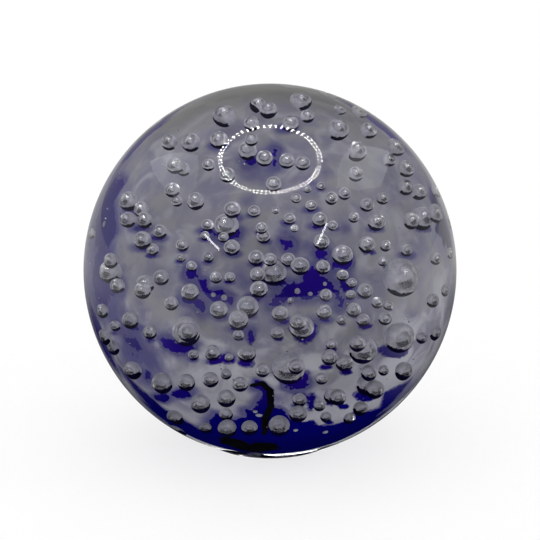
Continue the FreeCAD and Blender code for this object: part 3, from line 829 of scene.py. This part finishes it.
def bubble_material(name):
    """The wall of an air bubble: glass under a grainy film of enamel, with a dark crescent of painted
    shade.
    """
    material, nodes = new_material(name)
    place = nodes.add("ShaderNodeTexCoord").outputs["Object"]
    under, aside = nodes.layer("under"), nodes.layer("aside")
    cells = nodes.add("ShaderNodeTexVoronoi", Vector=place, Scale=1 / PIT_SIZE, Randomness=1.0)
    pits = nodes.ramp(cells.outputs["Distance"], 0.0, 0.45)
    bump = nodes.add("ShaderNodeBump", Height=pits, Strength=0.1, Distance=PIT_DEPTH)
    glass = nodes.glass(0.15, bump.outputs[0])

    patches = nodes.ramp(nodes.noise(place, 1.4 * MM, 3.0), 0.35, 0.65)
    grains = nodes.ramp(cells.outputs["Distance"], 0.28, 0.12)
    mottling = nodes.ramp(nodes.noise(place, 0.8 * MM, 3.0), 0.35, 0.65)
    film = nodes.mix(mottling, FILM_DARK, FILM_LIGHT)
    dust = nodes.matt(nodes.mix(grains, film, FILM_GRAIN), 0.7)
    cover = nodes.total(nodes.product(patches, COVER_PATCHES), nodes.product(grains, COVER_GRAINS))
    inner = nodes.product(nodes.ramp(aside, 0.1, 0.5), COVER_INNER)
    cover = nodes.maths("MAXIMUM", nodes.total(cover, COVER_ALL), inner)
    dusty = nodes.blend(cover, glass, dust)

    # Painted shade: a near-black crescent with a ragged edge along the bubble's underside, for the shadow
    # under the bubble and the dark surroundings its wall mirrors.
    cobalt = nodes.matt(PAINTED_CRESCENT_SHADE, 0.7)
    uneven = nodes.maths("SUBTRACT", nodes.noise(place, 0.9 * MM, 4.0, 0.6), 0.5)
    ragged = nodes.product(uneven, 0.7)
    ragged_crescent = nodes.ramp(nodes.total(under, ragged), -0.06, 0.0)
    dark = nodes.product(ragged_crescent, nodes.ramp(under, 1.2, 1.1))
    finish_material(nodes, nodes.blend(dark, dusty, cobalt))
    return material


def cobalt_colour(nodes, place, across, height):
    """The blues of the core: cloudy, with a haze of painted reflection at the sides, and darker near the
    foot with painted shade.
    """
    clouds = nodes.ramp(nodes.noise(place, 10 * MM, 3.0), 0.35, 0.7)
    cobalt = nodes.mix(clouds, COBALT, COBALT_DEEP)
    # Painted shade: darker, deeper blue near the foot, where the floor round the ball lies in its shade.
    cobalt = nodes.mix(nodes.ramp(height, LOW_BLUE_FROM, LOW_BLUE_FULL), cobalt, COBALT_SHADED_LOW)
    # Painted reflection: the cobalt turns to a grey haze towards its left and right, for the glass's
    # reflection near the ball's edge.
    right_half = nodes.ramp(across, -0.2 * CORE_RADIUS, 0.2 * CORE_RADIUS)
    painted_haze = nodes.mix(right_half, REFLECTED_HAZE_LEFT, REFLECTED_HAZE_RIGHT)
    sides = nodes.ramp(nodes.maths("ABSOLUTE", across), 0.6 * CORE_RADIUS, CORE_RADIUS)
    return nodes.mix(nodes.product(sides, 0.8), cobalt, painted_haze)


def enamel_colour(nodes, place, wear_and_shade, back, height):
    """The greys of the enamel: lavender clouds, pale blotches, paler low down with painted light, bluer
    where thin, olive high at the back as painted reflection."""
    lavender = nodes.ramp(nodes.noise(place, 8 * MM, 4.0, 0.55, 0.5), 0.38, 0.62)
    enamel = nodes.mix(lavender, ENAMEL_GREY, ENAMEL_LAVENDER)
    # Painted light: more of the enamel is pale low down, for the light from the floor below.
    lit_low = nodes.product(nodes.ramp(height, PALER_FROM, PALER_FULL), 0.2)
    thick = nodes.product(nodes.maths("MINIMUM", wear_and_shade, 0.0), -0.2)
    blotches = nodes.total(nodes.noise(place, 6 * MM, 3.0, 0.5, 0.8), nodes.total(lit_low, thick))
    # Painted light: the pale blotches are palest in a belt low in front.
    lit_belt = nodes.product(nodes.ramp(height, *BELT_TOP), nodes.ramp(height, *BELT_BOTTOM))
    palest = nodes.mix(lit_belt, ENAMEL_PALE, ENAMEL_BELT_LIT)
    enamel = nodes.mix(nodes.ramp(blotches, 0.46, 0.74), enamel, palest)
    drift = nodes.maths("MULTIPLY_ADD", nodes.noise(place, 5 * MM, 4.0), 0.8, -0.4)
    thin = nodes.ramp(nodes.total(wear_and_shade, drift), 0.25, 0.9)
    enamel = nodes.mix(thin, enamel, ENAMEL_THIN)
    # Painted reflection: olive high at the back, where the ball's top edge mirrors the dim room.
    reflected_crown = nodes.ramp(height, CENTRE.z + 0.55 * CORE_RADIUS, CENTRE.z + 0.9 * CORE_RADIUS)
    reflected_crown = nodes.product(reflected_crown, nodes.ramp(back, -0.1 * CORE_RADIUS, 0.5 * CORE_RADIUS))
    return nodes.mix(nodes.product(reflected_crown, 0.7), enamel, OLIVE_REFLECTION)


def enamel_material(name):
    """Enamel over cobalt glass, torn to bare cobalt where it is worn and in the painted shadows under
    bubbles, with the black marks of painted reflection. It lies inside the clear glass, so it has no
    gloss of its own."""
    material, nodes = new_material(name)
    place = nodes.add("ShaderNodeTexCoord").outputs["Object"]
    wear_and_shade, painted_black = nodes.layer("wear_and_shade"), nodes.layer("painted_black")
    split = nodes.add("ShaderNodeSeparateXYZ", Vector=place)
    across, back, height = split.outputs["X"], split.outputs["Y"], split.outputs["Z"]
    cobalt = cobalt_colour(nodes, place, across, height)
    enamel = enamel_colour(nodes, place, wear_and_shade, back, height)
    ragged = nodes.maths("MULTIPLY_ADD", nodes.noise(place, 0.9 * MM, 5.0, 0.65), 0.7, -0.35)
    # Bare cobalt where the enamel is torn, and in the painted shadows under bubbles.
    bare = nodes.ramp(nodes.total(wear_and_shade, ragged), 0.985, 1.015)
    colour = nodes.mix(bare, enamel, cobalt)
    # Painted reflection: black marks where the glass mirrors dark surroundings.
    black = nodes.ramp(nodes.total(painted_black, ragged), 0.3, 0.36)
    colour = nodes.mix(black, colour, MARK_BLACK)
    fine = nodes.noise(place, 0.7 * MM, 3.0)
    bump = nodes.add("ShaderNodeBump", Height=fine, Strength=0.25, Distance=0.05 * MM)
    finish_material(nodes, nodes.matt(colour, 0.6, Normal=bump.outputs[0]))
    return material


# ---------------------------------------------------------------- stage

# The floor: half its width, how far it lies under the foot, its greys, and how brightly it glows.
FLOOR_HALF = 3.0
FLOOR_GAP = 0.2 * MM
FLOOR_GREYS = (0.25, 0.25, 0.25), (0.27, 0.27, 0.27)
FLOOR_GLOW = 0.74

# What the ball mirrors of the floor: dark near the ball and pale away from it, and where the change is.
FLOOR_NEAR, FLOOR_AWAY = (0.002, 0.002, 0.003), (0.5, 0.5, 0.48)
SHADE_FROM, SHADE_TO = 0.07, 0.2

# The ring lamp: its place over the ball, its rows of diodes, and half a diode's width.
RING_PLACE = Vector((0, -0.0375, 0.25))
RING_RADII = (0.1065, 0.1135)
DIODES_A_ROW = 64
DIODE_HALF = 1.7 * MM
RING_STRENGTH, RING_TINT = 60.0, (1.0, 0.98, 0.92)

# The window panes and the strip lamps: how far they hang from the ball's skin, and half a strip's width.
PANE_DISTANCE, PANE_STRENGTH, PANE_TINT = 0.6, 1.1, (0.97, 0.98, 1.0)
STRIP_DISTANCE, STRIP_STRENGTH, STRIP_HALF = 0.4, 14.0, 0.005

# The tent that lights the ball, low down and overhead.
TENT_LOW, TENT_HIGH = (0.82, 0.82, 0.84), (1.3, 1.3, 1.31)

# The room that the ball mirrors: behind the camera, elsewhere, straight behind the ball, and overhead.
ROOM_FRONT, ROOM_SIDES = (0.02, 0.02, 0.02), (0.22, 0.22, 0.23)
ROOM_BACK, ROOM_TOP = (0.32, 0.32, 0.29), (0.1, 0.1, 0.085)

# The room as it shows from inside the glass: pale, and bright straight overhead.
INSIDE_PALE, INSIDE_BRIGHT = (0.75, 0.75, 0.8), (14.0, 14.0, 14.4)

MOST_BOUNCES = 24
DIFFUSE_BOUNCES = 4


def add_camera():
    """The camera in front of the ball, looking a little down at its middle."""
    camera = bpy.data.cameras.new("camera")
    camera.lens = LENS
    camera.sensor_width = SENSOR_WIDTH
    camera.clip_start = NEAREST_SEEN
    camera.clip_end = FARTHEST_SEEN
    holder = bpy.data.objects.new("camera", camera)
    bpy.context.scene.collection.objects.link(holder)
    holder.location = CENTRE + TOWARDS * VIEW_DISTANCE
    holder.rotation_mode = "QUATERNION"
    holder.rotation_quaternion = (-TOWARDS).to_track_quat("-Z", "Y")
    bpy.context.scene.camera = holder


def mirrored(nodes):
    """1 for a ray that has met glass and nothing else, so that it shows what the ball mirrors. 0 for a
    ray straight from the camera, and for one that lights the enamel."""
    path = nodes.add("ShaderNodeLightPath")
    glass_only = nodes.maths("LESS_THAN", path.outputs["Diffuse Depth"], 0.5)
    return nodes.maths("SUBTRACT", glass_only, path.outputs["Is Camera Ray"])


def add_floor():
    """A pale floor that glows a little, far larger than the view. In the glass it shows dark round the
    ball, in its shade."""
    half = FLOOR_HALF
    ground = low.z - FLOOR_GAP
    corners = [(-half, -half, ground), (half, -half, ground), (half, half, ground), (-half, half, ground)]
    floor = add_object("floor", corners, [(0, 1, 2, 3)], smooth=False)
    material, nodes = new_material("pale_floor")
    place = nodes.add("ShaderNodeTexCoord").outputs["Object"]
    colour = nodes.mix(nodes.noise(place, 0.02, 2.0), *FLOOR_GREYS)
    paper = nodes.add("ShaderNodeBsdfPrincipled", Base_Color=colour, Roughness=0.9)
    paper.inputs["Emission Color"].default_value = WHITE
    paper.inputs["Emission Strength"].default_value = FLOOR_GLOW
    paper.inputs["Specular IOR Level"].default_value = 0.1
    away = nodes.add("ShaderNodeVectorMath", Vector=place)
    away.operation = "LENGTH"
    shade = nodes.mix(nodes.ramp(away.outputs["Value"], SHADE_FROM, SHADE_TO), FLOOR_NEAR, FLOOR_AWAY)
    dim = nodes.add("ShaderNodeEmission", Color=shade, Strength=1.0)
    finish_material(nodes, nodes.blend(mirrored(nodes), paper, dim))
    material.cycles.emission_sampling = "NONE"
    floor.data.materials.append(material)


def add_lamp(name, vertices, faces, strength, tint=(1, 1, 1)):
    """A lamp that shows in the glass, and leaves the light on the enamel to the tent around the ball."""
    material, nodes = new_material(name)
    glow = nodes.product(mirrored(nodes), strength)
    shader = nodes.add("ShaderNodeEmission", Color=(*tint, 1), Strength=glow)
    finish_material(nodes, shader)
    material.cycles.emission_sampling = "NONE"
    lamp = add_object(name, vertices, faces, smooth=False)
    lamp.data.materials.append(material)
    lamp.visible_camera = False
    lamp.visible_shadow = False


def add_ring_lamp():
    """A round lamp over the ball: two rows of small diodes."""
    middle = CENTRE + RING_PLACE
    vertices, faces = [], []
    for reach in RING_RADII:
        for number in range(DIODES_A_ROW):
            turn = 2 * math.pi * number / DIODES_A_ROW
            out = Vector((math.cos(turn), math.sin(turn), 0))
            side = Vector((-out.y, out.x, 0))
            first = len(vertices)
            for along, across in ((-1, -1), (1, -1), (1, 1), (-1, 1)):
                corner = out * (reach + along * DIODE_HALF) + side * (across * DIODE_HALF)
                vertices.append(middle + corner)
            faces.append((first, first + 1, first + 2, first + 3))
    add_lamp("ring_lamp", vertices, faces, RING_STRENGTH, RING_TINT)


def add_panes():
    """The two window panes at the sides, and the two thin strip lamps low in front."""
    for number, corners in enumerate(WINDOW_PANES):
        vertices = [mirrored_at(across, up, PANE_DISTANCE) for across, up in corners]
        add_lamp(f"pane_{number}", vertices, [tuple(range(len(corners)))], PANE_STRENGTH, PANE_TINT)
    for number, (start, end) in enumerate(STRIP_LAMPS):
        across, up = end[0] - start[0], end[1] - start[1]
        length = math.hypot(across, up)
        aside = (-up / length * STRIP_HALF, across / length * STRIP_HALF)
        corners = [
            (x + side * aside[0], y + side * aside[1])
            for x, y, side in ((*start, -1), (*end, -1), (*end, 1), (*start, 1))
        ]
        vertices = [mirrored_at(x, y, STRIP_DISTANCE) for x, y in corners]
        add_lamp(f"strip_{number}", vertices, [(0, 1, 2, 3)], STRIP_STRENGTH)


def studio():
    """The soft studio: a pale tent that lights the ball, and what the glass mirrors of the room behind
    it."""
    world = bpy.data.worlds.new("studio")
    bpy.context.scene.world = world
    world.use_nodes = True
    nodes = Nodes(world.node_tree)
    direction = nodes.add("ShaderNodeTexCoord").outputs["Generated"]
    split = nodes.add("ShaderNodeSeparateXYZ", Vector=direction)
    height, depth = split.outputs["Z"], split.outputs["Y"]
    tent = nodes.mix(nodes.ramp(height, 0.1, 0.95), TENT_LOW, TENT_HIGH)
    room = nodes.mix(nodes.ramp(depth, -0.8, -0.3), ROOM_FRONT, ROOM_SIDES)
    room = nodes.mix(nodes.ramp(depth, 0.75, 0.98), room, ROOM_BACK)
    room = nodes.mix(nodes.ramp(height, 0.2, 0.75), room, ROOM_TOP)
    through = nodes.add("ShaderNodeLightPath").outputs["Transmission Depth"]
    inside = nodes.maths("GREATER_THAN", through, 0.5)
    above = nodes.mix(nodes.ramp(height, 0.85, 0.93), INSIDE_PALE, INSIDE_BRIGHT)
    colour = nodes.mix(mirrored(nodes), tent, nodes.mix(inside, room, above))
    shader = nodes.add("ShaderNodeBackground", Color=colour, Strength=1.0)
    output = world.node_tree.nodes.new("ShaderNodeOutputWorld")
    world.node_tree.links.new(shader.outputs[0], output.inputs["Surface"])
    world.cycles.sampling_method = "NONE"


def render_settings():
    """Plain colours, and enough bounces for glass in glass."""
    scene = bpy.context.scene
    scene.view_settings.view_transform = "Standard"
    cycles = scene.cycles
    cycles.max_bounces = MOST_BOUNCES
    cycles.transmission_bounces = MOST_BOUNCES
    cycles.glossy_bounces = MOST_BOUNCES
    cycles.diffuse_bounces = DIFFUSE_BOUNCES
    cycles.caustics_reflective = True
    cycles.caustics_refractive = True
    cycles.blur_glossy = 0.0
    cycles.sample_clamp_indirect = 0.0


# ---------------------------------------------------------------- putting it together

def main():
    """Build the pieces, then the stage around them, and note the sizes."""
    chance = random.Random(SEED)
    bubbles = read_bubbles()
    middle_radius = (GATHER_RADIUS + BALL_RADIUS) / 2
    shallow = [item for item in bubbles if (item[0] - CENTRE).length > middle_radius]
    deep = [item for item in bubbles if (item[0] - CENTRE).length <= middle_radius]
    skin = make_skin()
    skin.data.materials.append(glass_material("clear_glass"))
    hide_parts("outer_gather", "first_gather")
    bubble_wall = bubble_material("bubble_wall")
    pieces = [skin]
    seeds = scatter_seeds(chance)
    for name, group in (("bubbles_shallow", shallow), ("bubbles_deep", deep), ("gas_seeds", seeds)):
        piece = make_bubbles(name, group, chance)
        piece.data.materials.append(bubble_wall)
        pieces.append(piece)
    sphere, triangles = unit_sphere(CORE_LEVELS)
    depth = veil_depth(sphere, triangles)
    wear_and_shade = wear_and_shade_of(sphere, depth, bubbles, chance)
    painted_black = painted_black_of(sphere)
    core = make_core(sphere, triangles, wear_and_shade, painted_black)
    core.data.materials.append(enamel_material("cobalt_glass"))
    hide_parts("blue_core")
    enamel = enamel_material("smoky_enamel")
    veil = make_veil(sphere, triangles, depth, wear_and_shade, painted_black)
    veil.data.materials.append(enamel)
    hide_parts("white_veil")
    flecks = make_flecks(chance)
    flecks.data.materials.append(enamel)
    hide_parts("veil_flecks")
    for piece in pieces + [core, veil, flecks]:
        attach(piece, "root")
    for piece in pieces + [core, veil, flecks]:
        print(piece.name, len(piece.data.polygons), "faces")

    add_camera()
    add_floor()
    add_ring_lamp()
    add_panes()
    studio()
    render_settings()


main()
